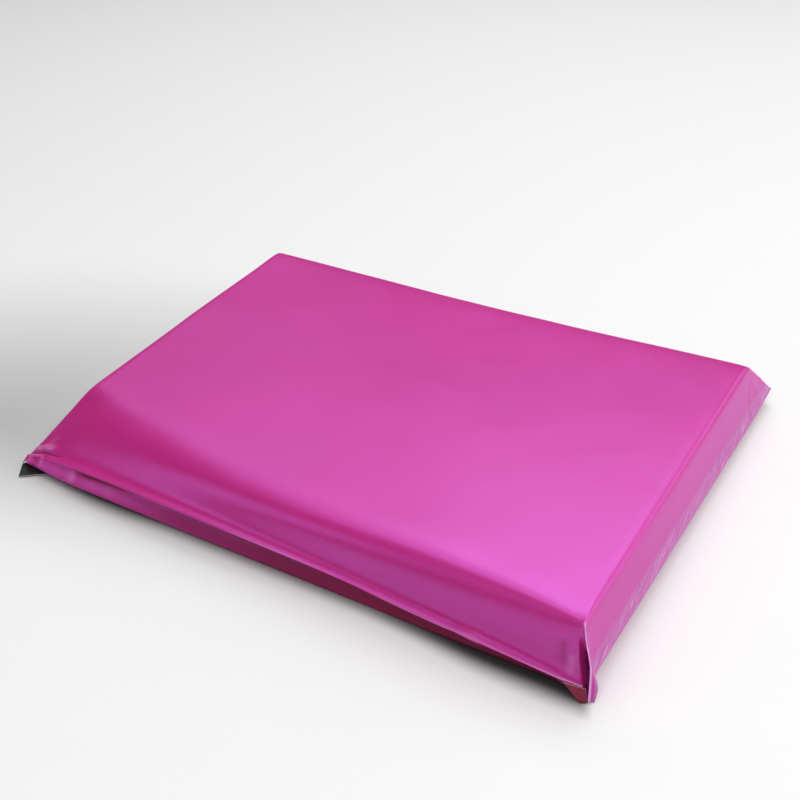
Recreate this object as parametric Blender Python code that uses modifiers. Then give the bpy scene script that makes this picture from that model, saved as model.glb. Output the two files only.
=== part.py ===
"""Poly mailer bag, filled, sealed and lying face up, as one closed solid.

The bag is one length of film folded across its far edge and welded along both short sides.
The flap is folded under the near edge and stuck to the underside.
The upper and the lower film are the two sides of one flat grid of quads.
Each is drawn over the contents like a hip roof: a flat top, four slopes and an ear at each corner.
A Subdivision Surface then rounds the cage.

Metres, +Z up. The long side runs along X, the flap's fold is at -Y.
"""
import bmesh
import bpy
from mathutils import Matrix, Vector

# What the bag holds: a soft flat pack that gives the film its shape
PACK_LENGTH = 0.380
PACK_WIDTH = 0.289
PACK_HEIGHT = 0.0437

# The near left corner of the pack is slack: it is drawn in, drawn back and slumps a little
SLACK_INWARD = 0.016
SLACK_BACK = 0.0595
SLACK_SLUMP = 0.0042
FAR_EDGE_SAG = 0.003

# Film beyond the pack: the welded sides, the fold at the back and the flap's fold at the front
SIDE_REACH = 0.0118
SIDE_EDGE_HEIGHT = 0.010
LEFT_EDGE_DROOP = 0.005
RIGHT_EDGE_LIFT = 0.005
RIGHT_EDGE_PULL = 0.0035
BACK_REACH = 0.040
FRONT_REACH = 0.0032
FRONT_FOLD_SKEW = 0.0085
FRONT_FOLD_HEIGHT = 0.0165
FRONT_FOOT_INSET = 0.0008
FRONT_FOOT_SKEW = 0.003
FRONT_FOOT_LIFT = 0.004
FRONT_FLAT_INSET = 0.005

# Ears, the corners of the flat bag
EAR_TIP_HEIGHT = 0.0014
LEFT_EAR_PULL = 0.006
LEFT_EAR_LENGTH = 0.028
RIGHT_EAR_PULL = 0.0012
RIGHT_EAR_LENGTH = 0.006
PINCH_DEPTH = 0.0055
PINCH_CREST = 0.0016

# Welds and flap
FILM_PAIR = 0.0008
PUCKER_DEPTH = 0.0007
PUCKER_HALF_PITCH = 0.008
PUCKER_SHARE = (0.0, 0.0, 0.35, 1.0, 0.25)
FLAP_DEPTH = 0.050
FLAP_STEP = 0.0005
FLAP_CORNER_REACH = 0.0125
FLAP_CORNER_OFFSET = 0.010
FLAP_CORNER_TAPER = 0.8

# Where the lower film leaves the floor, measured in from the pack's edge
SIDE_FOOT_INSET = 0.004
BACK_FOOT_INSET = 0.004

# Grid lines: four steps down each slope, the rest across the top
SLOPE_STEPS = 4
TOP_COLUMNS = (0.0, 0.03, 0.26, 0.5, 0.74, 0.97, 1.0)

# Profile of the side slopes from crease to cut edge: share of the way out, share of the way down
SIDE_OUT = (0.0, 0.11, 0.36, 0.62, 1.0)
SIDE_DOWN = (0.0, 0.12, 0.48, 0.80, 1.0)

# Profile of the front and back slopes from crease to fold
END_OUT = (0.0, 0.14, 0.5, 0.86, 1.0)
END_DOWN = (0.0, 0.11, 0.48, 0.86, 1.0)

# The front fold from left to right: share of the way along, share of its full height
FRONT_FOLD_RUN = ((0.0, 0.66), (0.06, 0.84), (0.35, 1.0), (0.62, 0.94), (0.82, 0.62), (1.0, 0.36))

# The film's foot along the front, which stands off the floor towards both ends
FRONT_FOOT_RUN = ((0.0, 0.8), (0.18, 1.0), (0.38, 0.05), (0.66, 0.05), (0.86, 0.85), (1.0, 0.2))

# Lower film under the sides: share of the way from the floor to the weld, and of the rise
UNDER_OUT = (0.0, 0.38, 0.74)
UNDER_UP = (0.0, 0.08, 0.45)

# Lower film between the front fold and its foot: share of the way up from the foot
FRONT_UNDER_UP = (0.0, 0.0, 0.3, 0.72)

FILM_COLOUR = (0.62, 0.09, 0.42, 1.0)


def mix(start, end, share):
    """Returns the value that lies the given share of the way from start to end."""
    return start + (end - start) * share


def along(stations, share):
    """Returns the value at a share of the way along a list of (share, value) stations."""
    for (left, low), (right, high) in zip(stations, stations[1:]):
        if share <= right:
            ease = (share - left) / (right - left)
            return mix(low, high, ease * ease * (3.0 - 2.0 * ease))
    return stations[-1][1]


def clear_scene():
    """Removes the objects that are already in the scene."""
    for item in list(bpy.data.objects):
        bpy.data.objects.remove(item, do_unlink=True)


def film_material():
    """Makes the glossy film's material."""
    material = bpy.data.materials.new("pink_film")
    material.use_nodes = True
    shader = material.node_tree.nodes["Principled BSDF"]
    shader.inputs["Base Color"].default_value = FILM_COLOUR
    shader.inputs["Roughness"].default_value = 0.36
    shader.inputs["Metallic"].default_value = 0.0
    return material


class Outline:
    """Crease corners on the pack's top, and the line of the film's edge around them."""

    def __init__(self):
        side = PACK_LENGTH / 2
        end = PACK_WIDTH / 2
        slack = Vector((SLACK_INWARD, SLACK_BACK, -SLACK_SLUMP))
        self.front_left = Vector((-side, -end, PACK_HEIGHT)) + slack
        self.front_right = Vector((side, -end, PACK_HEIGHT))
        self.back_left = Vector((-side, end, PACK_HEIGHT))
        self.back_right = Vector((side, end, PACK_HEIGHT))
        self.edge_x = side + SIDE_REACH
        self.front_y = -end - FRONT_REACH
        self.back_y = end + BACK_REACH

    def top(self, s, t):
        """Returns the top film's point: s runs left to right, t front to back."""
        front = self.front_left.lerp(self.front_right, s)
        back = self.back_left.lerp(self.back_right, s)
        point = front.lerp(back, t)
        point.z -= FAR_EDGE_SAG * 16.0 * (s * (1.0 - s)) ** 2 * t * t
        return point

    def floor(self, s, t):
        """Returns the point of the flat underside that lies below the top film's point."""
        side = PACK_LENGTH / 2 - SIDE_FOOT_INSET
        back = PACK_WIDTH / 2 - BACK_FOOT_INSET
        front = self.foot(s).y + FRONT_FLAT_INSET
        return Vector((mix(-side, side, s), mix(front, back, t), 0.0))

    def foot(self, s):
        """Returns the point of the film's foot below the front fold."""
        lift = FRONT_FOOT_LIFT * along(FRONT_FOOT_RUN, s)
        y = -PACK_WIDTH / 2 + FRONT_FOOT_INSET + FRONT_FOOT_SKEW * (1.0 - s) - lift
        return Vector((mix(-PACK_LENGTH / 2, PACK_LENGTH / 2, s), y, lift))

    def fold(self, t, s):
        """Returns the point of the front fold, at t = 0, or the back fold, at t = 1."""
        x = mix(-PACK_LENGTH / 2, PACK_LENGTH / 2, s)
        if t > 0.5:
            return Vector((x, self.back_y, SIDE_EDGE_HEIGHT))
        height = FRONT_FOLD_HEIGHT * along(FRONT_FOLD_RUN, s)
        return Vector((x, self.front_y + FRONT_FOLD_SKEW * (1.0 - s), height))

    def cut_edge(self, s, t):
        """Returns the point of the left cut edge, at s = 0, or the right one, at s = 1."""
        back = Vector((self.edge_x, PACK_WIDTH / 2, SIDE_EDGE_HEIGHT))
        front = self.ear(s, 0.0)
        if s > 0.5:
            front.y += RIGHT_EAR_LENGTH
            front.x = self.edge_x - RIGHT_EDGE_PULL
            front.z = SIDE_EDGE_HEIGHT + RIGHT_EDGE_LIFT
        else:
            back.x = -self.edge_x
            front.y += LEFT_EAR_LENGTH
            front.x = -self.edge_x
            front.z = SIDE_EDGE_HEIGHT - LEFT_EDGE_DROOP
        return front.lerp(back, t)

    def ear(self, s, t):
        """Returns the tip of the ear at a corner."""
        if t > 0.5:
            x = self.edge_x if s > 0.5 else -self.edge_x
            return Vector((x, self.back_y, SIDE_EDGE_HEIGHT))
        if s > 0.5:
            return Vector((self.edge_x - RIGHT_EAR_PULL, self.front_y, EAR_TIP_HEIGHT))
        y = self.front_y + FRONT_FOLD_SKEW + FRONT_FOOT_SKEW
        return Vector((-self.edge_x + LEFT_EAR_PULL, y, EAR_TIP_HEIGHT))

    def flap_tip(self):
        """Returns the tip of the flap's loose corner."""
        ear = self.ear(0.0, 0.0)
        return Vector((ear.x + FLAP_CORNER_OFFSET, ear.y - FLAP_CORNER_REACH, 0.0))


class Station:
    """Place of one grid vertex: its share across the top and its steps out beyond a crease."""

    def __init__(self, column, row, rows):
        last_column = len(TOP_COLUMNS) - 1
        self.s, self.out_x = self.split(column, last_column, TOP_COLUMNS)
        self.t, self.out_y = self.split(row, rows, None)
        self.row = row

    @staticmethod
    def split(index, last, shares):
        """Splits a grid index into the share across the top and the steps beyond its crease."""
        inner = min(max(index - SLOPE_STEPS, 0), last)
        share = shares[inner] if shares else inner / last
        return share, abs(index - SLOPE_STEPS - inner)


def upper_point(outline, at):
    """Returns the upper film's point at a station."""
    crease = outline.top(at.s, at.t)
    if not at.out_x and not at.out_y:
        return crease
    edge = outline.cut_edge(at.s, at.t)
    fold = outline.fold(at.t, at.s)
    ear = outline.ear(at.s, at.t)
    out_x = SIDE_OUT[at.out_x]
    out_y = END_OUT[at.out_y]
    if not at.out_x:
        return slope_point(crease, fold, out_y, END_DOWN[at.out_y])
    if not at.out_y:
        return slope_point(crease, edge, out_x, SIDE_DOWN[at.out_x])
    straight = min(at.out_x, at.out_y) / max(at.out_x, at.out_y)
    out_x = mix(out_x, SIDE_DOWN[at.out_x], straight if at.out_x > at.out_y else 1.0)
    out_y = mix(out_y, END_DOWN[at.out_y], straight if at.out_y > at.out_x else 1.0)
    point = crease.lerp(fold, out_y).lerp(edge.lerp(ear, out_y), out_x)
    if at.out_x > at.out_y:
        point.z = mix(crease.z, mix(edge.z, ear.z, straight), SIDE_DOWN[at.out_x])
    else:
        point.z = mix(crease.z, mix(fold.z, ear.z, straight), END_DOWN[at.out_y])
    if at.s > 0.5 and at.t < 0.5:
        point.y += pinch(at)
    return point


def pinch(at):
    """Returns how far the front right ear's film is pushed in, or out along the pinched crest."""
    crest = min(at.out_y, SLOPE_STEPS - 1)
    depth = at.out_y / SLOPE_STEPS
    if at.out_x == crest:
        return -PINCH_CREST * depth
    return PINCH_DEPTH * depth if at.out_x == crest - 1 else 0.0


def slope_point(crease, edge, out, down):
    """Returns a point on a slope, with its own share of the way out and of the way down."""
    point = crease.lerp(edge, out)
    point.z = mix(crease.z, edge.z, down)
    return point


def lower_point(outline, at, upper):
    """Returns the lower film's point at a station, given the upper film's point above it."""
    weld_step = SLOPE_STEPS - 1
    on_fold = at.out_y == SLOPE_STEPS
    if at.out_x >= weld_step or on_fold:
        return upper - Vector((0.0, 0.0, FILM_PAIR))
    floor = outline.floor(at.s, at.t)
    fold = outline.fold(at.t, at.s)
    point = floor.copy()
    if at.out_y and at.t < 0.5:
        band = outline.foot(at.s).lerp(fold, FRONT_UNDER_UP[at.out_y])
        point.y = band.y
        point.z = band.z
    elif at.out_y:
        share = at.out_y / SLOPE_STEPS
        point.y = mix(floor.y, fold.y, share)
        point.z = mix(0.0, fold.z - FILM_PAIR, share * share)
    if at.out_x:
        edge = outline.cut_edge(at.s, at.t)
        crease = outline.top(at.s, at.t)
        weld = slope_point(crease, edge, SIDE_OUT[weld_step], SIDE_DOWN[weld_step])
        point.x = mix(floor.x, weld.x, UNDER_OUT[at.out_x])
        rise = UNDER_UP[at.out_x] * (weld.z - FILM_PAIR) * (1.0 - at.out_y / SLOPE_STEPS)
        point.z = max(point.z, rise)
    return point


def pucker(at):
    """Returns how far the film stands off its slope at a station beside a weld."""
    if at.out_y or not at.out_x:
        return 0.0
    swing = 1.0 if at.row % 2 else -1.0
    return swing * PUCKER_DEPTH * PUCKER_SHARE[at.out_x]


def flap_step(outline, at, point):
    """Returns how far the underside is stepped up just behind the flap's cut edge."""
    flap_edge = outline.front_y + FLAP_DEPTH
    behind = 0.0 <= point.y - flap_edge < PUCKER_HALF_PITCH
    return FLAP_STEP if behind and not at.out_x else 0.0


def shape_films(grid, outline, columns, rows):
    """Lays the upper and the lower film's vertices over the pack.

    The grid is flat, from -1 to 1 both ways. Its top copy becomes the upper film.
    Returns each vertex with its station and whether it is in the upper film.
    """
    films = []
    for vertex in grid.verts:
        column = round((vertex.co.x + 1.0) / 2.0 * columns)
        row = round((vertex.co.y + 1.0) / 2.0 * rows)
        films.append((vertex, Station(column, row, rows - 2 * SLOPE_STEPS), vertex.co.z > 0.5))
    for vertex, at, is_upper in films:
        point = upper_point(outline, at)
        point.x += pucker(at) * (1.0 if at.s > 0.5 else -1.0)
        if not is_upper:
            point = lower_point(outline, at, point)
            point.z += flap_step(outline, at, point)
        vertex.co = point
    return films


def pull_flap_corner(grid, films, outline):
    """Draws the flap's loose corner out from under the film's foot at the front left ear."""
    tip = outline.flap_tip()
    under_foot = set()
    for vertex, at, is_upper in films:
        if not is_upper and at.t == 0.0 and at.out_y < 2 and at.out_x < 3 and at.s <= TOP_COLUMNS[1]:
            under_foot.add(vertex)
    root = [face for face in grid.faces if under_foot.issuperset(face.verts)]
    drawn = bmesh.ops.extrude_face_region(grid, geom=root)
    for item in drawn["geom"]:
        if isinstance(item, bmesh.types.BMVert):
            raised = item.co.z > FILM_PAIR
            item.co = item.co.lerp(tip, FLAP_CORNER_TAPER)
            item.co.z = FILM_PAIR if raised else 0.0
    bmesh.ops.delete(grid, geom=root, context="FACES_ONLY")


def crease_outline(grid, rim, outline):
    """Keeps the film's edge and the four ear tips sharp under the Subdivision Surface."""
    edge_crease = grid.edges.layers.float.new("crease_edge")
    tip_crease = grid.verts.layers.float.new("crease_vert")
    for edge in grid.edges:
        if len({face[rim] for face in edge.link_faces}) == 2:
            edge[edge_crease] = 1.0
    tips = [outline.ear(s, t) for s in (0.0, 1.0) for t in (0.0, 1.0)]
    for vertex in grid.verts:
        if any((vertex.co - tip).length < 2.0 * FILM_PAIR for tip in tips):
            vertex[tip_crease] = 1.0


def bag_mesh():
    """Makes the bag's cage: two films joined round their edge."""
    outline = Outline()
    top_rows = 2 * round(PACK_WIDTH / PUCKER_HALF_PITCH / 2)
    columns = len(TOP_COLUMNS) - 1 + 2 * SLOPE_STEPS
    rows = top_rows + 2 * SLOPE_STEPS
    grid = bmesh.new()
    bmesh.ops.create_grid(grid, x_segments=columns, y_segments=rows, size=1.0)
    raised = bmesh.ops.extrude_face_region(grid, geom=grid.faces[:], use_keep_orig=True)
    upper = [item for item in raised["geom"] if isinstance(item, bmesh.types.BMVert)]
    bmesh.ops.translate(grid, verts=upper, vec=(0.0, 0.0, 1.0))
    bmesh.ops.recalc_face_normals(grid, faces=grid.faces[:])
    rim = grid.faces.layers.int.new("rim")
    for face in grid.faces:
        face[rim] = abs(face.normal.z) < 0.5
        face.smooth = True
    films = shape_films(grid, outline, columns, rows)
    pull_flap_corner(grid, films, outline)
    crease_outline(grid, rim, outline)
    mesh = bpy.data.meshes.new("mailer_bag")
    grid.to_mesh(mesh)
    grid.free()
    return mesh


def stand_at_origin(bag):
    """Moves the bag so that its box is centred over the origin and its underside is at zero."""
    bpy.context.view_layer.update()
    finished = bag.evaluated_get(bpy.context.evaluated_depsgraph_get())
    points = [vertex.co for vertex in finished.to_mesh().vertices]
    low = Vector([min(point[axis] for point in points) for axis in range(3)])
    high = Vector([max(point[axis] for point in points) for axis in range(3)])
    finished.to_mesh_clear()
    middle = (low + high) / 2.0
    bag.data.transform(Matrix.Translation((-middle.x, -middle.y, -low.z)))


def main():
    """Builds the bag in its own collection."""
    clear_scene()
    collection = bpy.data.collections.new("poly_mailer_bag")
    bpy.context.scene.collection.children.link(collection)
    bag = bpy.data.objects.new("mailer_bag", bag_mesh())
    bag.data.materials.append(film_material())
    collection.objects.link(bag)
    rounding = bag.modifiers.new("rounded film", "SUBSURF")
    rounding.levels = 1
    rounding.render_levels = 1
    stand_at_origin(bag)


main()
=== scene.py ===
"""Looks of a filled poly mailer bag that lies face up on a pale studio floor.

The bag is a flat grid of film, an upper and a lower one, drawn over the soft pack that it holds.
Metres, +Z up. The long side runs along X, and the flap's fold is at -Y.
"""

import logging
import math
from dataclasses import dataclass, field, replace
from enum import Enum
from typing import Any, Sequence

import bmesh
import bpy
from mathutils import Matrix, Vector, noise


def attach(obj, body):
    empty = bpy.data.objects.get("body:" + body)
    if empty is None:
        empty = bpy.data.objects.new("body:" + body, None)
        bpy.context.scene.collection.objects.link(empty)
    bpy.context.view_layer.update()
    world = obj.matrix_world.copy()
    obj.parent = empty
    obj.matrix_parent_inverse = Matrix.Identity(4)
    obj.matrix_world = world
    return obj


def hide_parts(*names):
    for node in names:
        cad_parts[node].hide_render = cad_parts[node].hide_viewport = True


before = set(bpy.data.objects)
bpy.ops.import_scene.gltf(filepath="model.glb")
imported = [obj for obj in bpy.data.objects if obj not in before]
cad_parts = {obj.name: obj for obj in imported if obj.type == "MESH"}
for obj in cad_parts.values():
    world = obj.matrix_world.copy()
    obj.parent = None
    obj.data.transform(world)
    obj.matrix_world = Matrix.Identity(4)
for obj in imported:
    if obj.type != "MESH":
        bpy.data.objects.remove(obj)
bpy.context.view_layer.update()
LOG = logging.getLogger("mailer_bag")
MM = 0.001
Pair = tuple[float, float]
Row = tuple[float, float, float]
Colour = tuple[float, float, float, float]


def mix(start: Any, end: Any, share: float) -> Any:
    """Returns the value that lies the given share of the way from start to end."""
    return start + (end - start) * share


def ease(share: float) -> float:
    """Returns a share from 0 to 1 with a soft start and a soft stop."""
    share = min(max(share, 0.0), 1.0)
    return share * share * (3.0 - 2.0 * share)


def ramp(value: float, low: float, high: float) -> float:
    """Returns a soft step from 0 at low to 1 at high."""
    return ease((value - low) / (high - low))


def along(stations: Sequence[Pair], share: float) -> float:
    """Reads a curve that is given by a few stations.

    Args:
        stations: (share, value) pairs in rising order of share.
        share: where to read, from 0 to 1.

    Returns:
        The value there, eased between the two stations around it.
    """
    for (left, low), (right, high) in zip(stations, stations[1:]):
        if share <= right:
            return mix(low, high, ease((share - left) / (right - left)))
    return stations[-1][1]


def millimetres(*numbers: float) -> Vector:
    """Returns a point that is given in millimetres."""
    return Vector(numbers) * MM


class Signal:
    """One shader socket, on which Python's own operators add Math nodes."""

    def __init__(self, tree: "ShaderTree", socket: bpy.types.NodeSocket) -> None:
        """Wraps a socket of a shader tree."""
        self.tree = tree
        self.socket = socket

    def math(self, operation: str, *terms: Any) -> "Signal":
        """Adds a Math node.

        Args:
            operation: the node's operation.
            terms: its inputs in order, signals or numbers.

        Returns:
            The node's result.
        """
        node = self.tree.node("ShaderNodeMath", {"operation": operation}, dict(enumerate(terms)))
        return Signal(self.tree, node.outputs[0])

    def __add__(self, other: Any) -> "Signal":
        """Returns this signal plus another."""
        return self.math("ADD", self, other)

    def __radd__(self, other: Any) -> "Signal":
        """Returns a number plus this signal."""
        return self.math("ADD", other, self)

    def __sub__(self, other: Any) -> "Signal":
        """Returns this signal less another."""
        return self.math("SUBTRACT", self, other)

    def __rsub__(self, other: Any) -> "Signal":
        """Returns a number less this signal."""
        return self.math("SUBTRACT", other, self)

    def __mul__(self, other: Any) -> "Signal":
        """Returns this signal times another."""
        return self.math("MULTIPLY", self, other)

    def __rmul__(self, other: Any) -> "Signal":
        """Returns a number times this signal."""
        return self.math("MULTIPLY", other, self)

    def __abs__(self) -> "Signal":
        """Returns this signal without its sign."""
        return self.math("ABSOLUTE", self)

    def step(self, low: float, high: float) -> "Signal":
        """Returns a soft step from 0 at low to 1 at high."""
        inputs = {"Value": self, "From Min": low, "From Max": high}
        settings = {"interpolation_type": "SMOOTHSTEP"}
        return Signal(self.tree, self.tree.node("ShaderNodeMapRange", settings, inputs).outputs[0])


class ShaderTree:
    """The nodes of one material or world."""

    def __init__(self, owner: bpy.types.Material | bpy.types.World) -> None:
        """Starts an empty tree in its owner."""
        self.owner = owner
        owner.use_nodes = True
        self.nodes = owner.node_tree.nodes
        self.links = owner.node_tree.links
        self.nodes.clear()

    @classmethod
    def material(cls, name: str) -> "ShaderTree":
        """Starts an empty tree in a new material of that name."""
        return cls(bpy.data.materials.new(name))

    def node(self, kind: str, settings: dict[str, Any], inputs: dict[Any, Any]) -> bpy.types.Node:
        """Adds one node.

        Args:
            kind: the node's type.
            settings: its own settings, which are set first.
            inputs: a value or a link for each named or numbered socket.

        Returns:
            The node.
        """
        node = self.nodes.new(kind)
        for name, value in settings.items():
            setattr(node, name, value)
        for name, value in inputs.items():
            if isinstance(value, Signal):
                self.links.new(value.socket, node.inputs[name])
            else:
                node.inputs[name].default_value = value
        return node

    def signal(self, kind: str, settings: dict[str, Any], inputs: dict[Any, Any], out: Any = 0) -> Signal:
        """Adds one node and returns one of its outputs as a signal."""
        return Signal(self, self.node(kind, settings, inputs).outputs[out])

    def place(self) -> Signal:
        """Returns the point's own place on the piece, in metres."""
        return self.signal("ShaderNodeTexCoord", {}, {}, "Object")

    def grain(self, place: Signal, scale: float, detail: float = 2.0, rough: float = 0.5) -> Signal:
        """Returns a soft noise from 0 to 1, with scale in cells for each metre."""
        inputs = {"Vector": place, "Scale": scale, "Detail": detail, "Roughness": rough}
        return self.signal("ShaderNodeTexNoise", {}, inputs)

    def stretch(self, place: Signal, scale: Row) -> Signal:
        """Returns a place that is stretched by a Mapping node."""
        return self.signal("ShaderNodeMapping", {}, {"Vector": place, "Scale": scale})

    def axes(self, place: Signal) -> tuple[Signal, Signal]:
        """Returns the first two numbers of a place."""
        split = self.node("ShaderNodeSeparateXYZ", {}, {0: place})
        return Signal(self, split.outputs[0]), Signal(self, split.outputs[1])

    def mark(self, name: str) -> Signal:
        """Returns a number that the mesh holds for each vertex under that name."""
        return self.signal("ShaderNodeAttribute", {"attribute_name": name}, {}, "Fac")

    def blend(self, share: Any, low: Any, high: Any) -> Signal:
        """Returns a colour between two others, by a share."""
        inputs = {0: share, 6: low, 7: high}
        return self.signal("ShaderNodeMix", {"data_type": "RGBA"}, inputs, 2)

    def bump(self, height: Signal, strength: float, distance: float) -> Signal:
        """Returns a normal that a height bends, with the distance in metres."""
        inputs = {"Strength": strength, "Distance": distance, "Height": height}
        return self.signal("ShaderNodeBump", {}, inputs)

    def finish(self, inputs: dict[str, Any], share: Any = 0.0,
               other: dict[str, Any] | None = None) -> bpy.types.Material:
        """Ends the tree in one Principled shader, or in a mix of two.

        Args:
            inputs: the shader's values and links.
            share: how much of the other shader shows.
            other: the other shader's values and links.

        Returns:
            The material.
        """
        shader = self.signal("ShaderNodeBsdfPrincipled", {}, inputs)
        if other:
            second = self.signal("ShaderNodeBsdfPrincipled", {}, other)
            shader = self.signal("ShaderNodeMixShader", {}, {0: share, 1: shader, 2: second})
        self.node("ShaderNodeOutputMaterial", {}, {0: shader})
        return self.owner


@dataclass(frozen=True)
class PinkFilm:
    """Outer side of the co-extruded film: crimson pink with a violet sheen.

    A ramp holds the low and the high end of a soft step, and a width is in metres of flat film.
    """

    body: Colour = (0.55, 0.018, 0.195, 1.0)
    deep: Colour = (0.52, 0.016, 0.180, 1.0)
    weld: Colour = (0.44, 0.12, 0.24, 1.0)
    streak: Colour = (0.90, 0.62, 0.72, 1.0)
    sheen: Colour = (0.56, 0.24, 1.0, 1.0)
    bloom: Colour = (0.75, 0.20, 1.0, 1.0)
    # Painted shade below the front fold and in creases, and the colour of painted highlights along tight
    # folds:
    shaded: Colour = (0.21, 0.012, 0.055, 1.0)
    shaded_light: Colour = (0.26, 0.020, 0.080, 1.0)
    highlight_colour: Colour = (1.0, 0.60, 0.95, 1.0)
    half_width: float = 0.226
    weld_ramp: Pair = (0.0080, 0.0115)
    weld_share: float = 0.75
    streak_slant: float = 3.4
    streak_scale: float = 420.0
    streak_ramp: Pair = (0.54, 0.66)
    streak_share: float = 0.7
    cloud_ramp: Pair = (0.35, 0.70)
    highlight_share: float = 0.8
    gloss: float = 1.86
    # Gloss of the painted shade's darker copy of the film:
    shaded_gloss: float = 0.12
    skin_depth: float = 0.0006

    def material(self) -> bpy.types.Material:
        """Makes the film's material, with its weld bands read from the film's own flat map, and with painted
        highlights and painted shade read from marks on the mesh.
        """
        tree = ShaderTree.material("pink_film")
        place = tree.place()
        across, lengthwise = tree.axes(tree.signal("ShaderNodeUVMap", {"uv_map": "film"}, {}))
        inward = self.half_width - abs(across)
        band = 1.0 - inward.step(*self.weld_ramp)
        slant = lengthwise - inward * self.streak_slant
        drawn = tree.signal("ShaderNodeCombineXYZ", {}, {0: slant, 1: inward * 0.25, 2: 0.0})
        streaks = tree.grain(drawn, self.streak_scale, 3.0, 0.62).step(*self.streak_ramp) * band
        clouds = tree.grain(place, 9.0)
        colour = tree.blend(clouds.step(*self.cloud_ramp), self.deep, self.body)
        colour = tree.blend(band * self.weld_share, colour, self.weld)
        colour = tree.blend(streaks * self.streak_share, colour, self.streak)
        # Painted highlight along tight folds, where the mesh marks it.
        white = tree.mark("painted_highlight") * self.highlight_share
        colour = tree.blend(white, colour, self.highlight_colour)
        # Painted shade: a darker, less glossy copy of the film, which the mesh's shade mark mixes in below
        # the front fold and in creases.
        under = tree.blend(white, tree.blend(clouds, self.shaded, self.shaded_light), self.highlight_colour)
        haze = tree.grain(place, 30.0, 4.0)
        rough = 0.30 + haze * 0.10 + band * 0.06
        skin = tree.grain(place, 700.0, 2.0)
        pull = tree.grain(tree.stretch(place, (1.0, 0.35, 1.0)), 60.0, 3.0)
        height = skin * 0.02 + pull * 0.10 + streaks * 0.35
        return tree.finish({
            "Base Color": colour, "Roughness": rough, "Normal": tree.bump(height, 0.5, self.skin_depth),
            "Specular IOR Level": 1.0, "Specular Tint": self.sheen, "IOR": self.gloss,
            "Sheen Weight": 0.25, "Sheen Roughness": 0.45, "Sheen Tint": self.bloom,
        }, tree.mark("shade"), {
            "Base Color": under, "Roughness": rough, "Specular IOR Level": self.shaded_gloss,
        })


@dataclass(frozen=True)
class DullFilm:
    """Film with a dull gloss: black like the inner side, unless other colours are given."""

    name: str = "black_film"
    body: Colour = (0.012, 0.011, 0.010, 1.0)
    worn: Colour = (0.030, 0.027, 0.026, 1.0)
    speck: float = 160.0
    rough: float = 0.42
    skin_depth: float = 0.0004

    def material(self) -> bpy.types.Material:
        """Makes the film's material."""
        tree = ShaderTree.material(self.name)
        place = tree.place()
        colour = tree.blend(tree.grain(place, self.speck, 3.0), self.body, self.worn)
        height = tree.grain(place, 500.0, 3.0)
        return tree.finish({
            "Base Color": colour, "Roughness": self.rough + tree.grain(place, 90.0) * 0.1,
            "Normal": tree.bump(height, 0.3, self.skin_depth), "Specular IOR Level": 0.3,
        })


def red_film() -> DullFilm:
    """Returns the flap's outer side as a darker copy of the pink film, with painted shade: deep crimson."""
    return DullFilm("red_film", (0.22, 0.016, 0.045, 1.0), (0.27, 0.022, 0.062, 1.0), 220.0, 0.40)


@dataclass(frozen=True)
class CutEdge:
    """The film's cut edge, pale with a painted highlight of the light it catches."""

    body: Colour = (0.62, 0.56, 0.58, 1.0)
    tinted: Colour = (0.70, 0.50, 0.62, 1.0)

    def material(self) -> bpy.types.Material:
        """Makes the cut edge's material."""
        tree = ShaderTree.material("film_edge")
        speck = tree.grain(tree.place(), 400.0, 3.0)
        colour = tree.blend(speck, self.body, self.tinted)
        return tree.finish({"Base Color": colour, "Roughness": 0.4 + speck * 0.1})


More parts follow.
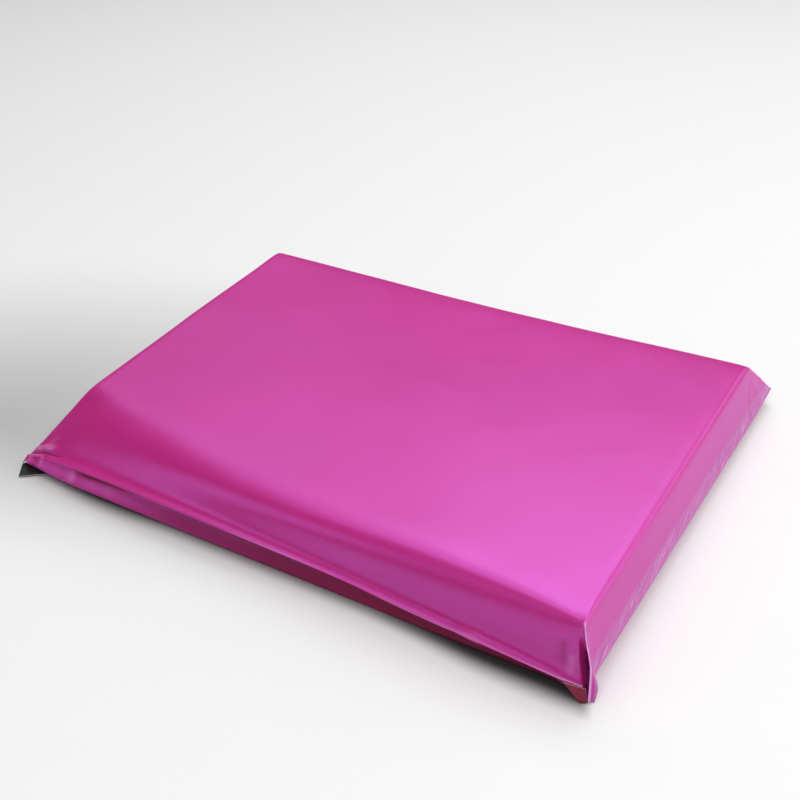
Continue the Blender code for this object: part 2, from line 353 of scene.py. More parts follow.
@dataclass(frozen=True)
class StudioFloor:
    """Plain pale floor, with a painted shadow beside the bag's left end and a painted contact shadow under
    its front foot.

    A ramp holds the start and the end of a soft step in metres, and a bend the painted shadow's
    change of width and the ramp along X over which it comes.
    """

    body: Colour = (0.77, 0.775, 0.77, 1.0)
    speck: Colour = (0.78, 0.785, 0.78, 1.0)
    # Painted change of floor tone towards the back, which stands in for the light's fall-off:
    far: Colour = (0.78, 0.78, 0.78, 1.0)
    far_ramp: Pair = (0.2, 1.5)
    # Painted shadow beside the bag's left end:
    painted_shadow: Colour = (0.42, 0.42, 0.42, 1.0)
    painted_shadow_place: Pair = (-0.250, -0.125)
    painted_shadow_ramp: Pair = (-0.04, 0.30)
    painted_shadow_front: float = 1.3
    # Painted contact shadow under the bag's front foot:
    deep: Colour = (0.05, 0.05, 0.05, 1.0)
    foot_line: Pair = (-0.1590, -0.0121)
    foot_shadow_width: float = 0.014
    foot_shadow_bends: tuple[Row, ...] = (
        (-0.009, -0.185, -0.125), (0.004, -0.11, -0.06), (-0.009, 0.06, 0.15))
    streak_ramp: Pair = (0.002, 0.019)
    left_ramp: Pair = (-0.196, -0.175)
    right_ramp: Pair = (0.190, 0.198)
    right_slant: float = 0.5
    back_ramp: Pair = (-0.10, -0.05)

    def material(self) -> bpy.types.Material:
        """Makes the floor's material."""
        tree = ShaderTree.material("studio_floor")
        place = tree.place()
        colour = tree.blend(tree.grain(place, 40.0), self.body, self.speck)
        x, y = tree.axes(place)
        across, away = x - self.painted_shadow_place[0], y - self.painted_shadow_place[1]
        # Painted change of floor tone towards the back, which stands in for the light's fall-off.
        colour = tree.blend(away.step(*self.far_ramp), colour, self.far)
        # Painted shadow beside the bag's left end.
        away = away + away.math("MINIMUM", away, 0.0) * self.painted_shadow_front
        reach = across.math("SQRT", across * across + away * away)
        colour = tree.blend(reach.step(*self.painted_shadow_ramp), self.painted_shadow, colour)
        # Painted contact shadow in a dark streak under the bag's front foot.
        width = self.foot_shadow_width
        for change, start, end in self.foot_shadow_bends:
            width = width + change * x.step(start, end)
        beyond = (self.foot_line[0] + self.foot_line[1] * x) - y + width
        under = (1.0 - beyond.step(*self.streak_ramp)) * x.step(*self.left_ramp)
        under = under * (1.0 - (x - beyond * self.right_slant).step(*self.right_ramp))
        under = under * (1.0 - y.step(*self.back_ramp))
        colour = tree.blend(under, colour, self.deep)
        return tree.finish({"Base Color": colour, "Roughness": 0.75, "Specular IOR Level": 0.2})


class Layer(Enum):
    """The two films of the bag."""

    LOWER = 0
    UPPER = 1


@dataclass(frozen=True)
class Fold:
    """A crease line in the film, seen from above: a ridge where its height is above 0."""

    start: Vector
    end: Vector
    height: float
    width: float

    def lift(self, point: Vector) -> float:
        """Returns how far the fold moves the film at a point."""
        line = self.end - self.start
        share = (point.xy - self.start).dot(line) / line.length_squared
        if not 0.0 < share < 1.0:
            return 0.0
        nearest = self.start + line * share
        across = (point.xy - nearest).length / self.width
        fade = ease(1.5 - abs(2.0 * share - 1.0) * 1.5)
        return self.height * fade * math.exp(-across * across * 1.4)


@dataclass
class Station:
    """Place of one cage vertex: shares across and along the top, and steps out over a side or an end."""

    s: float
    t: float
    side: int
    end: int
    right: bool
    back: bool
    column: int


@dataclass
class MailerBag:
    """The filled bag: contents' corners, the film's outline and its profiles.

    A run gives millimetres by the share from left to right, a slope gives (share out, share down)
    for each step, and rows of three numbers are in millimetres, but pinch_inset in film pairs.
    A fold row holds start, end, height and width, and a mark row middle, low end, high end,
    height and width. A highlight pair holds the width of a painted highlight line and its strength.
    """

    half_length: float = 0.190
    left_shift: float = 0.0013
    front: float = -0.1626
    back: float = 0.1264
    top: float = 0.0437
    sag: float = 0.003
    slack: Vector = field(default_factory=lambda: millimetres(16.0, 59.5, -4.2))
    bow: tuple[Pair, ...] = ((0.0, 0.0), (0.55, 0.0), (0.88, 6.0), (0.96, 5.0), (1.0, 3.6))
    back_fold: float = 0.1664
    side_edge: float = 0.2018
    side_edge_height: float = 0.010
    front_cut: Row = (-197.8, -125.0, 7.2)
    front_ear: Row = (-195.4, -155.0, 1.8)
    base_half: float = 0.186
    base_back: float = 0.122
    base_inset: float = 0.006
    film_pair: float = 0.0008
    flap_end: float = -0.1160
    flap_step: float = 0.0005
    side_steps: int = 6
    end_steps: int = 6
    top_rows: int = 14
    columns_near: tuple[float, ...] = (
        0.0, 0.016, 0.035, 0.07, 0.13, 0.28, 0.45, 0.62, 0.78, 0.90, 0.980, 0.9935, 0.997, 1.0)
    columns_far: tuple[float, ...] = (
        0.0, 0.016, 0.035, 0.07, 0.13, 0.28, 0.42, 0.56, 0.69, 0.80, 0.88, 0.935, 0.972, 1.0)
    fan_end: float = 0.14
    side_out: tuple[float, ...] = (0.0, 0.17, 0.34, 0.50, 0.64, 0.75, 1.0)
    side_down: tuple[float, ...] = (0.0, 0.13, 0.35, 0.57, 0.76, 0.87, 1.0)
    end_out: tuple[float, ...] = (0.0, 0.10, 0.30, 0.52, 0.72, 0.88, 1.0)
    end_down: tuple[float, ...] = (0.0, 0.08, 0.27, 0.50, 0.72, 0.89, 1.0)
    flat_side: tuple[float, ...] = (0.190, 0.194, 0.202, 0.211, 0.216, 0.2195, 0.226)

    fold_run: tuple[Pair, ...] = (
        (0.0, 8.0), (0.03, 11.6), (0.06, 13.4), (0.12, 15.6), (0.35, 18.2), (0.62, 16.8), (0.82, 11.6),
        (1.0, 8.6))
    fold_reach: tuple[Pair, ...] = (
        (0.0, 155.6), (0.06, 156.4), (0.12, 157.6), (0.22, 160.6), (0.5, 163.6), (0.8, 165.6), (1.0, 166.8))
    foot_line: Pair = (-0.1588, -0.1628)
    foot_slant: Pair = (0.6, -0.2)
    foot_run: tuple[Pair, ...] = (
        (0.0, 7.0), (0.03, 6.4), (0.10, 5.0), (0.38, 0.2), (0.66, 0.2), (0.86, 0.6), (0.980, 2.6), (1.0, 2.6))
    foot_back: tuple[Pair, ...] = ((0.0, 4.4), (0.03, 3.6), (0.06, 1.4), (0.11, 0.0), (1.0, 0.0))
    recess_run: tuple[Pair, ...] = (
        (0.0, 0.2), (0.10, 0.6), (0.14, 3.6), (0.25, 5.6), (0.6, 6.0), (0.85, 4.6), (0.95, 2.4), (1.0, 1.0))
    band_rows: tuple[Pair, ...] = (
        (0.0, 6.0), (0.0, 2.0), (0.03, 0.0), (0.25, 0.35), (0.55, 0.9), (0.92, 1.0))
    # Painted shade in the band below the front fold:
    shade_run: tuple[Pair, ...] = (
        (0.0, 0.0), (0.20, 0.05), (0.37, 0.60), (0.56, 0.90), (0.74, 1.0), (1.0, 1.0))
    shade_start: Pair = (0.10, 0.14)
    shade_end: float = 0.975
    shade_depth: Pair = (0.0032, 0.0058)
    front_zone: float = -0.145

    slope_corner: tuple[Pair, ...] = (
        (0.0, 0.0), (0.20, 0.20), (0.42, 0.44), (0.60, 0.63), (0.75, 0.79), (0.87, 0.94), (1.0, 1.0))
    corner_share: float = 0.07
    slope_left: tuple[Pair, ...] = (
        (0.0, 0.0), (0.20, 0.09), (0.42, 0.26), (0.60, 0.47), (0.75, 0.71), (0.87, 0.93), (1.0, 1.0))
    slope_mid: tuple[Pair, ...] = (
        (0.0, 0.0), (0.33, 0.06), (0.58, 0.20), (0.72, 0.42), (0.785, 0.70), (0.85, 0.945), (1.0, 1.0))
    slope_right: tuple[Pair, ...] = (
        (0.0, 0.0), (0.32, 0.10), (0.54, 0.30), (0.62, 0.54), (0.64, 0.78), (0.70, 0.95), (1.0, 1.0))

    panel_edge: tuple[Row, ...] = (
        (187.4, -158.4, 43.2), (188.2, -161.0, 38.6), (189.0, -162.4, 32.1), (189.8, -163.2, 24.8),
        (191.3, -164.0, 18.0), (193.0, -165.6, 12.2), (194.6, -167.2, 8.9))
    valley: tuple[Row, ...] = (
        (188.0, -158.4, 43.5), (189.2, -160.8, 39.4), (190.2, -159.6, 32.6), (190.9, -155.0, 25.0),
        (192.0, -152.4, 18.0), (193.8, -152.0, 11.0), (195.6, -154.0, 4.0))
    crest: tuple[Row, ...] = (
        (188.7, -158.6, 43.8), (190.7, -162.0, 40.8), (192.4, -164.2, 35.0), (195.8, -166.0, 27.6),
        (197.2, -166.8, 20.5), (197.8, -167.6, 10.8), (198.3, -168.0, 2.4))
    ear_edge: tuple[Row, ...] = (
        (198.0, -161.4, 14.4), (199.2, -162.3, 13.4), (200.6, -163.3, 11.2), (201.4, -164.2, 9.2),
        (201.5, -164.9, 6.6), (201.3, -165.5, 3.6), (200.9, -166.1, 0.9))
    crest_lift: float = 0.09
    ear_share: tuple[float, ...] = (0.0, 0.14, 0.34, 0.54, 0.70, 0.82, 1.0)
    drop_foot: Pair = (0.1945, -0.1636)
    drop_edge: Pair = (-0.0004, 0.0006)
    drop_start: float = 0.30
    pinch_inset: Row = (-0.6, 0.35, -0.2)
    pinch_back: Row = (-0.6, 1.2, 0.0)
    pinch_rows: float = 3.0

    fold_rows: tuple[tuple[Pair, Pair, float, float], ...] = (
        ((-196.5, -151.9), (-172.0, -150.2), -1.8, 0.9),
        ((-184.0, -150.0), (-160.0, -152.4), -1.3, 1.0),
        ((-194.0, -149.0), (-168.0, -146.4), 1.1, 1.9),
        ((-195.5, -154.2), (-176.0, -153.6), 1.2, 1.2),
        ((-176.0, -152.8), (-173.0, -156.0), -0.9, 1.0),
        ((-193.5, -150.0), (-186.0, -134.0), -0.6, 1.4),
        ((-194.5, -147.0), (-190.0, -126.0), 0.5, 1.8),
        ((-186.0, -150.0), (-170.0, -139.0), 0.4, 2.6),
        ((192.0, 123.0), (203.5, 112.0), -0.35, 2.0),
        ((191.5, 126.0), (202.0, 150.0), 0.3, 2.2),
        ((199.5, -158.0), (195.5, -146.0), -0.35, 1.2),
        ((200.5, -160.0), (197.5, -140.0), 0.35, 1.3))
    mark_rows: tuple[tuple[float, float, float, float, float], ...] = (
        (-186.0, 5.0, 12.0, 0.6, 1.8), (-181.5, 5.0, 12.0, -0.6, 1.2), (-176.0, 5.0, 13.0, 0.5, 1.8),
        (-158.0, 5.0, 14.0, -0.8, 1.2), (-148.0, 5.0, 13.0, 0.6, 3.0), (-139.0, 5.0, 13.0, -0.4, 1.8),
        (-118.0, 5.0, 12.0, 0.3, 4.0), (124.0, 4.0, 14.0, -0.5, 2.0), (133.0, 4.0, 14.0, 0.4, 3.0),
        (181.0, 15.0, 30.0, -0.6, 2.6), (186.5, 12.0, 24.0, 0.6, 2.6))
    full_mark: float = 0.0010
    # Painted shade in crease valleys and painted highlight on crease ridges:
    mark_shade: float = 0.6
    ridge_highlight: float = 0.25
    waves: tuple[Pair, ...] = ((11.0, 0.0005), (34.0, 0.00012))
    pucker_pitch: float = 0.014
    pucker_slant: float = 3.4
    pucker_height: float = 0.00022
    pucker_width: float = 0.016
    pucker_span: Pair = (-0.163, 0.14)
    # Painted highlight lines along the crest and the front lip:
    crest_highlight: Pair = (0.0013, 1.0)
    lip_highlight: Pair = (0.0009, 0.55)
    lip_span: Pair = (0.45, 0.981)

    def fold_height(self, s: float) -> float:
        """Returns the height of the front fold."""
        return along(self.fold_run, s) * MM

    def front_fold(self, s: float) -> Vector:
        """Returns the point of the front fold."""
        x = mix(-self.half_length, self.half_length, s)
        return Vector((x, -along(self.fold_reach, s) * MM, self.fold_height(s)))

    def foot(self, s: float) -> Vector:
        """Returns the point of the film's foot below the front fold."""
        lift = along(self.foot_run, s) * MM
        x = mix(-self.half_length, self.half_length, s)
        y = mix(*self.foot_line, s) - lift * mix(*self.foot_slant, s) + along(self.foot_back, s) * MM
        return Vector((x, y, lift))

    def top_point(self, s: float, t: float) -> Vector:
        """Returns the point of the top film, with s left to right and t front to back."""
        left = -self.half_length - self.left_shift
        front_left = Vector((left, self.front, self.top)) + self.slack
        front_right = Vector((self.half_length, self.front, self.top))
        back_left = Vector((left, self.back, self.top))
        back_right = Vector((self.half_length, self.back, self.top))
        point = front_left.lerp(front_right, s).lerp(back_left.lerp(back_right, s), t)
        point.y += along(self.bow, s) * MM * (1.0 - t) ** 6
        point.z -= self.sag * 16.0 * (s * (1.0 - s)) ** 2 * t * t
        return point

    def cut_edge(self, at: Station) -> Vector:
        """Returns the point of the side's cut edge in the station's row."""
        back = Vector((self.side_edge, self.back, self.side_edge_height))
        if at.right:
            return millimetres(*self.ear_edge[0]).lerp(back, at.t)
        back.x = -self.side_edge
        return millimetres(*self.front_cut).lerp(back, at.t)

    def ear(self, at: Station) -> Vector:
        """Returns the tip of the ear at the station's corner."""
        if at.back:
            x = self.side_edge if at.right else -self.side_edge
            return Vector((x, self.back_fold, self.side_edge_height))
        return millimetres(*self.front_ear)

    def front_profile(self, s: float, step: int) -> Pair:
        """Returns the share out and the share down of the front slope at a step."""
        if s < self.corner_share:
            near, far, share = self.slope_corner[step], self.slope_left[step], ramp(s, 0.0, self.corner_share)
        elif s < 0.5:
            near, far, share = self.slope_left[step], self.slope_mid[step], ramp(s, self.corner_share, 0.5)
        else:
            near, far, share = self.slope_mid[step], self.slope_right[step], ramp(s, 0.5, 1.0)
        return mix(near[0], far[0], share), mix(near[1], far[1], share)

    def end_slope(self, at: Station) -> Vector:
        """Returns the point of the front or back slope."""
        crease = self.top_point(at.s, at.t)
        if at.back:
            x = mix(-self.half_length, self.half_length, at.s)
            fold = Vector((x, self.back_fold, self.side_edge_height))
            out, down = self.end_out[at.end], self.end_down[at.end]
        else:
            fold = self.front_fold(at.s)
            out, down = self.front_profile(at.s, at.end)
        point = crease.lerp(fold, out)
        point.z = mix(crease.z, fold.z, down)
        return point

    def side_slope(self, at: Station) -> Vector:
        """Returns the point of a side slope."""
        crease = self.top_point(at.s, at.t)
        edge = self.cut_edge(at)
        point = crease.lerp(edge, self.side_out[at.side])
        point.z = mix(crease.z, edge.z, self.side_down[at.side])
        return point

    def plain_ear(self, at: Station) -> Vector:
        """Returns the point of a corner that runs down to its ear in two flat faces."""
        crease, ear = self.top_point(at.s, at.t), self.ear(at)
        if at.back:
            fold = Vector((crease.x, self.back_fold, self.side_edge_height))
            end_out, end_down = self.end_out[at.end], self.end_down[at.end]
        else:
            fold = self.front_fold(at.s)
            end_out, end_down = self.front_profile(at.s, at.end)
        out, down, foot = self.side_out[at.side], self.side_down[at.side], self.cut_edge(at)
        if at.side == at.end:
            down = (down + end_down) / 2.0
        elif at.end > at.side:
            out, down, foot = end_out, end_down, fold
        straight = min(at.side, at.end) / max(at.side, at.end)
        foot = foot.lerp(ear, straight)
        point = crease.lerp(foot, mix(out, down, straight))
        if at.back and at.side == at.end:
            down -= self.crest_lift * math.sin(math.pi * down)
        point.z = mix(crease.z, foot.z, down)
        return point

    def pinched_ear(self, at: Station) -> Vector:
        """Returns the point of the front right corner, whose side film stands out in a crest."""
        crest = millimetres(*self.crest[at.end])
        edge = millimetres(*self.ear_edge[at.end])
        first = self.side_slope(replace(at, end=0))
        share = self.ear_share[at.side]
        straight = millimetres(*self.crest[0]).lerp(millimetres(*self.ear_edge[0]), share)
        bulge = (first - straight) * (1.0 - at.end / self.end_steps) ** 1.5
        return crest.lerp(edge, share) + bulge

    def upper(self, at: Station) -> Vector:
        """Returns the upper film's point at a station."""
        last = len(self.columns_near) - 1
        top_column = at.column - self.side_steps
        if at.end and not at.back and at.right:
            return self.pinched_ear(at)
        if at.end and not at.back and top_column == last:
            return millimetres(*self.crest[at.end])
        if at.end and not at.back and top_column == last - 1:
            return millimetres(*self.valley[at.end])
        if at.end and not at.back and top_column == last - 2:
            return millimetres(*self.panel_edge[at.end])
        if at.side and at.end:
            return self.plain_ear(at)
        if at.side:
            return self.side_slope(at)
        if at.end:
            return self.end_slope(at)
        return self.top_point(at.s, at.t)

    def lower(self, at: Station, upper: Vector, fold_row: Vector) -> Vector:
        """Returns the lower film's point at a station.

        Args:
            at: the station.
            upper: the upper film's point above it.
            fold_row: the upper film's point of the same column in the front fold's row.

        Returns:
            The lower film's point.
        """
        top_column = at.column - self.side_steps
        last = len(self.columns_near) - 1
        if at.end and not at.back and top_column >= last - 1:
            return self.under_pinch(at, upper, fold_row)
        if at.side >= self.side_steps - 1 or at.end == self.end_steps:
            return upper - Vector((0.0, 0.0, self.film_pair))
        x = mix(-self.base_half, self.base_half, at.s)
        point = Vector((x, mix(self.foot(at.s).y + self.base_inset, self.base_back, at.t), 0.0))
        if at.end and not at.back:
            point = self.band(at)
            if top_column == last - 2:
                point = self.triangle(at)
        elif at.end:
            share = at.end / self.end_steps
            point.y = mix(point.y, self.back_fold, share)
            point.z = mix(0.0, self.side_edge_height - self.film_pair, share * share)
        if at.side:
            weld = self.upper(replace(at, side=self.side_steps - 1))
            weld.z -= self.film_pair
            share = at.side / (self.side_steps - 1)
            flat = point.lerp(weld, share)
            flat.z = mix(point.z, weld.z, share ** 3 if at.end < 2 else share)
            return flat
        return point

    def band(self, at: Station) -> Vector:
        """Returns the lower film's point between the front fold and the film's foot."""
        up, inset = self.band_rows[at.end]
        foot = self.foot(at.s)
        point = foot.lerp(self.front_fold(at.s), up)
        if at.end < 2:
            point.y += inset * MM
            point.z = foot.z * (0.4 if at.end else 0.0)
        else:
            point.y += along(self.recess_run, at.s) * MM * inset
        return point

    def triangle(self, at: Station) -> Vector:
        """Returns the lower film's point where it drops to the floor beside the pinched ear."""
        edge = millimetres(*self.panel_edge[-1])
        share = at.end / self.end_steps
        x = mix(self.drop_foot[0], edge.x + self.drop_edge[0], share)
        y = mix(self.drop_foot[1], edge.y + self.drop_edge[1], share)
        return Vector((x, y, edge.z * max(0.0, share - self.drop_start) / (1.0 - self.drop_start)))

    def under_pinch(self, at: Station, upper: Vector, fold_row: Vector) -> Vector:
        """Returns the lower film's point under the pinched ear and its weld."""
        inward = Vector(self.pinch_inset) * self.film_pair
        if at.end == self.end_steps or at.side >= self.side_steps - 1:
            return upper + inward
        back = self.end_steps - at.end
        point = fold_row + inward + millimetres(*self.pinch_back) * back
        point.z = max(0.0, fold_row.z * (1.0 - back / self.pinch_rows))
        return point

    def folds(self) -> list[Fold]:
        """Returns the crease lines that the film keeps from being packed."""
        return [Fold(Vector(a) * MM, Vector(b) * MM, h * MM, w * MM) for a, b, h, w in self.fold_rows]

    def front_marks(self, point: Vector) -> float:
        """Returns how far upright creases move the front panel and the band below its fold."""
        x, z = point.x / MM, point.z / MM
        lift = 0.0
        for middle, low, high, height, width in self.mark_rows:
            rise = ramp(z, low - 2.0, low + 2.0) * (1.0 - ramp(z, high - 3.0, high + 3.0))
            lift += height * rise * math.exp(-((x - middle) / width) ** 2)
        return lift * MM

    def build(self) -> bpy.types.Object:
        """Makes the bag's mesh and returns its object."""
        columns = 2 * self.side_steps + len(self.columns_near) - 1
        rows = 2 * self.end_steps + self.top_rows
        grid = bmesh.new()
        bmesh.ops.create_grid(grid, x_segments=columns, y_segments=rows, size=1.0)
        raised = bmesh.ops.extrude_face_region(grid, geom=grid.faces[:], use_keep_orig=True)
        upper = [item for item in raised["geom"] if isinstance(item, bmesh.types.BMVert)]
        bmesh.ops.translate(grid, verts=upper, vec=(0.0, 0.0, 1.0))
        bmesh.ops.recalc_face_normals(grid, faces=grid.faces[:])
        rim = grid.faces.layers.int.new("rim")
        for face in grid.faces:
            face[rim] = abs(face.normal.z) < 0.5
            face.smooth = True
        self.drape(grid, columns, rows)
        self.crease(grid, rim)
        cage = bpy.data.meshes.new("mailer_bag_cage")
        grid.to_mesh(cage)
        grid.free()
        bag = self.smooth(cage)
        self.pack_marks(bag)
        return bag

    def station(self, column: int, row: int) -> Station:
        """Returns the station of a grid vertex."""
        last = len(self.columns_near) - 1
        top_column = min(max(column - self.side_steps, 0), last)
        top_row = min(max(row - self.end_steps, 0), self.top_rows)
        t = top_row / self.top_rows
        s = mix(self.columns_near[top_column], self.columns_far[top_column], ease(t / self.fan_end))
        side = abs(column - self.side_steps - top_column)
        end = abs(row - self.end_steps - top_row)
        return Station(s, t, side, end, column - self.side_steps > last, top_row > 0, column)

    def drape(self, grid: bmesh.types.BMesh, columns: int, rows: int) -> None:
        """Lays both films over the pack and writes the film's flat map.

        Args:
            grid: the flat grid and its raised copy, from -1 to 1.
            columns: the grid's cells along X.
            rows: the grid's cells along Y.
        """
        films: dict[tuple[int, int, Layer], bmesh.types.BMVert] = {}
        for vertex in grid.verts:
            column = round((vertex.co.x + 1.0) / 2.0 * columns)
            row = round((vertex.co.y + 1.0) / 2.0 * rows)
            films[column, row, Layer(int(vertex.co.z > 0.5))] = vertex
        uv = grid.loops.layers.uv.new("film")
        for (column, row, _), vertex in films.items():
            place = self.flat_place(self.station(column, row))
            for loop in vertex.link_loops:
                loop[uv].uv = place
        for (column, row, layer), vertex in films.items():
            if layer is Layer.UPPER:
                vertex.co = self.upper(self.station(column, row))
        for (column, row, layer), vertex in films.items():
            if layer is Layer.LOWER:
                above = films[column, row, Layer.UPPER].co
                fold_row = films[column, 0, Layer.UPPER].co
                vertex.co = self.lower(self.station(column, row), above, fold_row)

    def flat_place(self, at: Station) -> Pair:
        """Returns the station's place on the film laid flat."""
        x = mix(-self.half_length, self.half_length, at.s)
        if at.side:
            x = self.flat_side[at.side] * (1.0 if at.right else -1.0)
        y = mix(self.front, self.back, at.t)
        y += (1.0 if at.back else -1.0) * at.end * 0.0075
        return x, y

    def crease(self, grid: bmesh.types.BMesh, rim: Any) -> None:
        """Keeps the film's edges and the pinched crest sharp under the smoothing."""
        edge_crease = grid.edges.layers.float.new("crease_edge")
        tip_crease = grid.verts.layers.float.new("crease_vert")
        for edge in grid.edges:
            if len({face[rim] for face in edge.link_faces}) == 2:
                edge[edge_crease] = 0.9
        crest = [millimetres(*row) for row in self.crest]
        panel = [millimetres(*row) for row in self.panel_edge]
        slot = [millimetres(*row) for row in self.valley]
        for line, sharp in ((crest, 0.6), (panel[2:], 0.7), (slot[3:], 0.6)):
            for edge in grid.edges:
                if all(min((vertex.co - point).length for point in line) < 1e-5 for vertex in edge.verts):
                    edge[edge_crease] = max(edge[edge_crease], sharp)
        tips = [Vector((x, self.back_fold, self.side_edge_height)) for x in (-self.side_edge, self.side_edge)]
        tips += [millimetres(*row) for row in (self.front_ear, self.ear_edge[-1], self.ear_edge[0])]
        for vertex in grid.verts:
            if any((vertex.co - tip).length < 1.2 * self.film_pair for tip in tips):
                vertex[tip_crease] = 0.9

    def smooth(self, cage: bpy.types.Mesh) -> bpy.types.Object:
        """Rounds the cage and returns the fine film as an object of its own."""
        draft = bpy.data.objects.new("mailer_bag_draft", cage)
        bpy.context.scene.collection.objects.link(draft)
        rounding = draft.modifiers.new("rounded film", "SUBSURF")
        rounding.levels = rounding.render_levels = 3
        bpy.context.view_layer.update()
        finished = draft.evaluated_get(bpy.context.evaluated_depsgraph_get())
        mesh = bpy.data.meshes.new_from_object(finished)
        mesh.name = "mailer_bag_film"
        bpy.data.objects.remove(draft, do_unlink=True)
        bag = bpy.data.objects.new("mailer_bag_film", mesh)
        bpy.context.scene.collection.objects.link(bag)
        return bag

    def pack_marks(self, bag: bpy.types.Object) -> None:
        """Presses folds, weld puckers and a faint waviness into the fine film, and marks where shade and
        highlights are painted on it.
        """
        folds, lines = self.folds(), self.highlight_lines()
        film = bmesh.new()
        film.from_mesh(bag.data)
        film.normal_update()
        white = film.verts.layers.float.new("painted_highlight")
        shade = film.verts.layers.float.new("shade")
        uv = film.loops.layers.uv.active
        moves = []
        for vertex in film.verts:
            # Painted highlight along tight folds, and painted shade in the band below the front fold.
            vertex[white] = self.painted_highlight(vertex.co, lines)
            vertex[shade] = self.band_shade(vertex.co)
            if vertex.co.z < 0.0009 and vertex.normal.z < -0.5:
                step = ease((vertex.co.y - self.flap_end) / 0.0025)
                moves.append((vertex, Vector((0.0, 0.0, self.flap_step * step))))
                continue
            x, y = vertex.link_loops[0][uv].uv
            lift = self.pucker(x, y)
            creased = 0.0
            if vertex.normal.z > 0.1:
                creased += sum(fold.lift(vertex.co) for fold in folds)
            if vertex.normal.y < -0.35 and vertex.co.y < self.front_zone:
                creased += self.front_marks(vertex.co)
            lift += creased
            # Painted shade in crease valleys and painted highlight on crease ridges.
            vertex[shade] = max(vertex[shade], self.mark_shade * ease(-creased / self.full_mark))
            vertex[white] = max(vertex[white], self.ridge_highlight * ease(creased / self.full_mark))
            if vertex.normal.z > -0.3:
                inside = ease((self.flat_side[-1] - abs(x)) / 0.03)
                lift += sum(noise.noise(vertex.co * scale) * height * inside for scale, height in self.waves)
            moves.append((vertex, vertex.normal * lift))
        for vertex, move in moves:
            vertex.co += move
            vertex.co.z = max(vertex.co.z, 0.0)
        film.to_mesh(bag.data)
        film.free()

    def band_shade(self, point: Vector) -> float:
        """Returns the share of painted shade in the band below the front fold, from 0 to 1."""
        s = min(max((point.x + self.half_length) / (2.0 * self.half_length), 0.0), 1.0)
        below = self.fold_height(s) - self.film_pair - point.z
        if point.y > self.front_zone or below < 0.0 or s > self.shade_end:
            return 0.0
        gap = ramp(s, *self.shade_start) * (1.0 - ramp(below, *self.shade_depth))
        return ease(below / 0.0006) * max(gap, along(self.shade_run, s))

    def highlight_lines(self) -> list[tuple[Vector, Vector, float, float]]:
        """Returns the start, end, width and strength of each painted highlight line along a tight fold."""
        crest = [millimetres(*row) for row in self.crest]
        lines = [(start, end, *self.crest_highlight) for start, end in zip(crest, crest[1:])]
        fold_end, lip_end = self.front_fold(self.columns_near[-4]), millimetres(*self.panel_edge[-1])
        return [*lines, (fold_end, lip_end, *self.lip_highlight)]

    def painted_highlight(self, point: Vector, lines: list[tuple[Vector, Vector, float, float]]) -> float:
        """Returns the share of painted highlight at a point near a tight fold.

        Args:
            point: the point.
            lines: what highlight_lines gives.

        Returns:
            A share from 0 to 1.
        """
        if point.y > self.front_zone - 0.005:
            return 0.0
        share = 0.0
        for start, end, width, strength in lines:
            nearest = min(max((point - start).dot(end - start) / (end - start).length_squared, 0.0), 1.0)
            share = max(share, strength * ease(1.35 - (point - start.lerp(end, nearest)).length / width))
        s = (point.x + self.half_length) / (2.0 * self.half_length)
        if self.lip_span[0] < s < self.lip_span[1]:
            away = (point - self.front_fold(s)).length / self.lip_highlight[0]
            share = max(share, ease(1.1 - away) * mix(0.22, 0.5, ramp(s, 0.90, 0.97)))
        return share

    def pucker(self, x: float, y: float) -> float:
        """Returns how far a weld's diagonal puckers lift the film, at a place on the flat film."""
        inward = self.flat_side[-1] - abs(x)
        if inward > self.pucker_width or not self.pucker_span[0] < y < self.pucker_span[1]:
            return 0.0
        band = ease((0.014 - inward) / 0.008) * ease(inward / 0.0025)
        phase = (y - inward * self.pucker_slant) / self.pucker_pitch
        phase += 1.6 * noise.noise(Vector((0.0, y * 40.0, x)))
        strength = 0.6 + 0.5 * noise.noise(Vector((x, y * 25.0, 0.0)))
        return band * strength * self.pucker_height * math.sin(math.tau * phase)

    def dress(self, bag: bpy.types.Object) -> None:
        """Gives the bag its finish and sets it in the frame."""
        bag.data.materials.clear()
        bag.data.materials.append(PinkFilm().material())
        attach(bag, "root")
        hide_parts("mailer_bag")
        LOG.info("%s: %d faces", bag.name, len(bag.data.polygons))


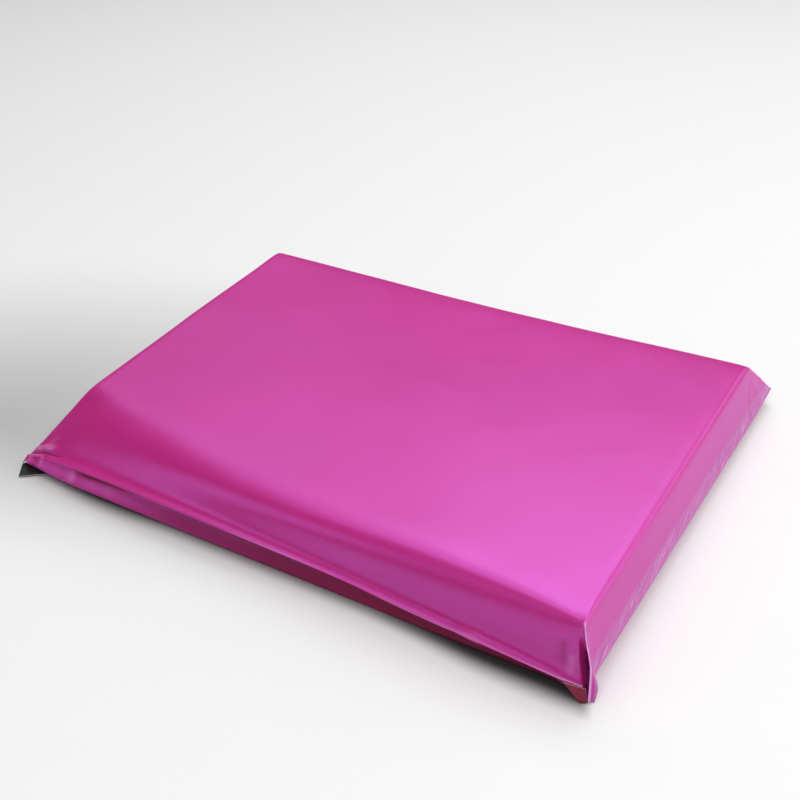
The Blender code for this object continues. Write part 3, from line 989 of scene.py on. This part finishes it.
@dataclass
class FlapCorner:
    """Corner of the flap under a front ear: by default the left one, which is black on both sides.

    The faces are the finishes of one side, of the cut edge and of the other side.
    """

    name: str = "flap_corner_left"
    faces: tuple[DullFilm | CutEdge, ...] = (DullFilm(), CutEdge(), DullFilm())
    thickness: float = 0.00035
    ripple: float = 0.0006
    ripple_scale: float = 160.0
    corners: tuple[Row, ...] = (
        (-186.6, -167.2, 0.0), (-173.0, -156.4, 0.0), (-195.2, -155.2, 0.6), (-182.0, -146.5, 0.6))

    def build(self) -> bpy.types.Object:
        """Makes the corner as a thin sheet with a softly curled edge."""
        front_left, front_right, back_left, back_right = (millimetres(*row) for row in self.corners)
        sheet = bmesh.new()
        bmesh.ops.create_grid(sheet, x_segments=16, y_segments=12, size=0.5)
        for vertex in sheet.verts:
            s, t = vertex.co.x + 0.5, vertex.co.y + 0.5
            point = front_left.lerp(front_right, s).lerp(back_left.lerp(back_right, s), t)
            ripple = noise.noise(point * self.ripple_scale)
            point.z += self.ripple * ((1.0 - t) ** 2 + abs(ripple))
            point.y += self.ripple * ripple * (1.0 - t)
            vertex.co = point
        bmesh.ops.recalc_face_normals(sheet, faces=sheet.faces[:])
        if sum(face.normal.z for face in sheet.faces) < 0.0:
            bmesh.ops.reverse_faces(sheet, faces=sheet.faces[:])
        middle = sum((face.normal for face in sheet.faces), Vector()).normalized()
        bmesh.ops.solidify(sheet, geom=sheet.faces[:], thickness=-self.thickness)
        for face in sheet.faces:
            facing = face.normal.dot(middle)
            face.smooth = abs(facing) > 0.6
            face.material_index = 0 if facing > 0.5 else 2 if facing < -0.5 else 1
        mesh = bpy.data.meshes.new(self.name)
        sheet.to_mesh(mesh)
        sheet.free()
        piece = bpy.data.objects.new(self.name, mesh)
        bpy.context.scene.collection.objects.link(piece)
        return piece

    def dress(self, piece: bpy.types.Object) -> None:
        """Gives the corner its finishes and sets it in the frame."""
        for finish in self.faces:
            piece.data.materials.append(finish.material())
        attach(piece, "root")
        LOG.info("%s: %d faces", piece.name, len(piece.data.polygons))


@dataclass
class Studio:
    """Floor, lamps, world and camera around the bag.

    A lamp is its name, its place, the side of its square panel and its power in watts.
    """

    eye: Row = (0.3140, -0.55225, 0.4087)
    pitch: float = 31.0517
    yaw: float = -29.9155
    lens: float = 50.4
    world: float = 0.05
    backdrop: float = 0.86
    floor_half: float = 2.2
    lamps: tuple[tuple[str, Row, float, float], ...] = (
        ("rear", (-0.25, 1.7, 2.3), 1.6, 31.0),
        ("rear_left", (-1.5, 1.25, 1.9), 1.4, 8.0),
        ("rear_right", (2.2, 1.15, 0.8), 1.5, 19.0),
        ("rear_crease", (1.35, 2.2, 1.4), 1.4, 11.0),
        ("top_right", (0.95, -0.10, 1.55), 1.0, 12.5),
        ("top_left", (-0.9, 0.2, 2.8), 1.2, 10.5),
        ("front_high", (0.50, -1.6, 2.1), 1.3, 22.5),
        ("front_left", (-1.9, -1.9, 1.2), 1.4, 8.0))

    def build(self) -> None:
        """Makes the whole studio."""
        self.floor()
        self.sky()
        for name, place, size, power in self.lamps:
            self.lamp(name, place, size, power)
        self.camera()

    def floor(self) -> None:
        """Makes the pale floor."""
        plane = bmesh.new()
        bmesh.ops.create_grid(plane, x_segments=8, y_segments=8, size=self.floor_half)
        bmesh.ops.translate(plane, verts=plane.verts[:], vec=(0.0, 0.0, -0.0002))
        mesh = bpy.data.meshes.new("studio_floor")
        plane.to_mesh(mesh)
        plane.free()
        mesh.materials.append(StudioFloor().material())
        floor = bpy.data.objects.new("studio_floor", mesh)
        bpy.context.scene.collection.objects.link(floor)

    def sky(self) -> None:
        """Fills the world with an even faint light, which the camera sees as a pale backdrop."""
        world = bpy.data.worlds.new("studio_light")
        tree = ShaderTree(world)
        seen = tree.signal("ShaderNodeLightPath", {}, {}, "Is Camera Ray")
        strength = self.world + seen * (self.backdrop - self.world)
        inputs = {"Color": (1.0, 1.0, 1.0, 1.0), "Strength": strength}
        tree.node("ShaderNodeOutputWorld", {}, {0: tree.signal("ShaderNodeBackground", {}, inputs)})
        bpy.context.scene.world = world

    def lamp(self, name: str, place: Row, size: float, power: float) -> None:
        """Hangs a soft lamp that faces the bag.

        Args:
            name: the lamp's name.
            place: where it hangs.
            size: the side of its square panel.
            power: its power in watts.
        """
        light = bpy.data.lights.new(name, "AREA")
        light.shape = "SQUARE"
        light.size = size
        light.energy = power
        lamp = bpy.data.objects.new(name, light)
        lamp.location = place
        lamp.rotation_euler = (-Vector(place)).to_track_quat("-Z", "Y").to_euler()
        bpy.context.scene.collection.objects.link(lamp)

    def camera(self) -> None:
        """Sets the camera at the photograph's viewing angle."""
        lens = bpy.data.cameras.new("camera")
        lens.lens = self.lens
        lens.sensor_width = 36.0
        lens.clip_start = 0.01
        pitch, yaw = math.radians(self.pitch), math.radians(self.yaw)
        level = math.cos(pitch)
        forward = Vector((math.sin(yaw) * level, math.cos(yaw) * level, -math.sin(pitch)))
        camera = bpy.data.objects.new("camera", lens)
        camera.rotation_euler = forward.to_track_quat("-Z", "Y").to_euler()
        camera.location = self.eye
        bpy.context.scene.collection.objects.link(camera)
        bpy.context.scene.camera = camera
        bpy.context.scene.view_settings.view_transform = "Standard"


def main() -> None:
    """Builds the bag, the flap's two corners and the studio, and reports each piece."""
    logging.basicConfig(level=logging.INFO)
    bag = MailerBag()
    bag.dress(bag.build())
    left = FlapCorner()
    left.dress(left.build())
    # The right corner is deep crimson film with painted shade.
    right = FlapCorner(
        name="flap_corner_right", faces=(red_film(), CutEdge(), red_film()), ripple=0.0001,
        corners=((194.4, -168.6, 0.1), (198.0, -167.3, 0.9), (184.8, -167.7, 8.1), (196.0, -166.6, 8.6)))
    right.dress(right.build())
    Studio().build()


if __name__ == "__main__":
    main()
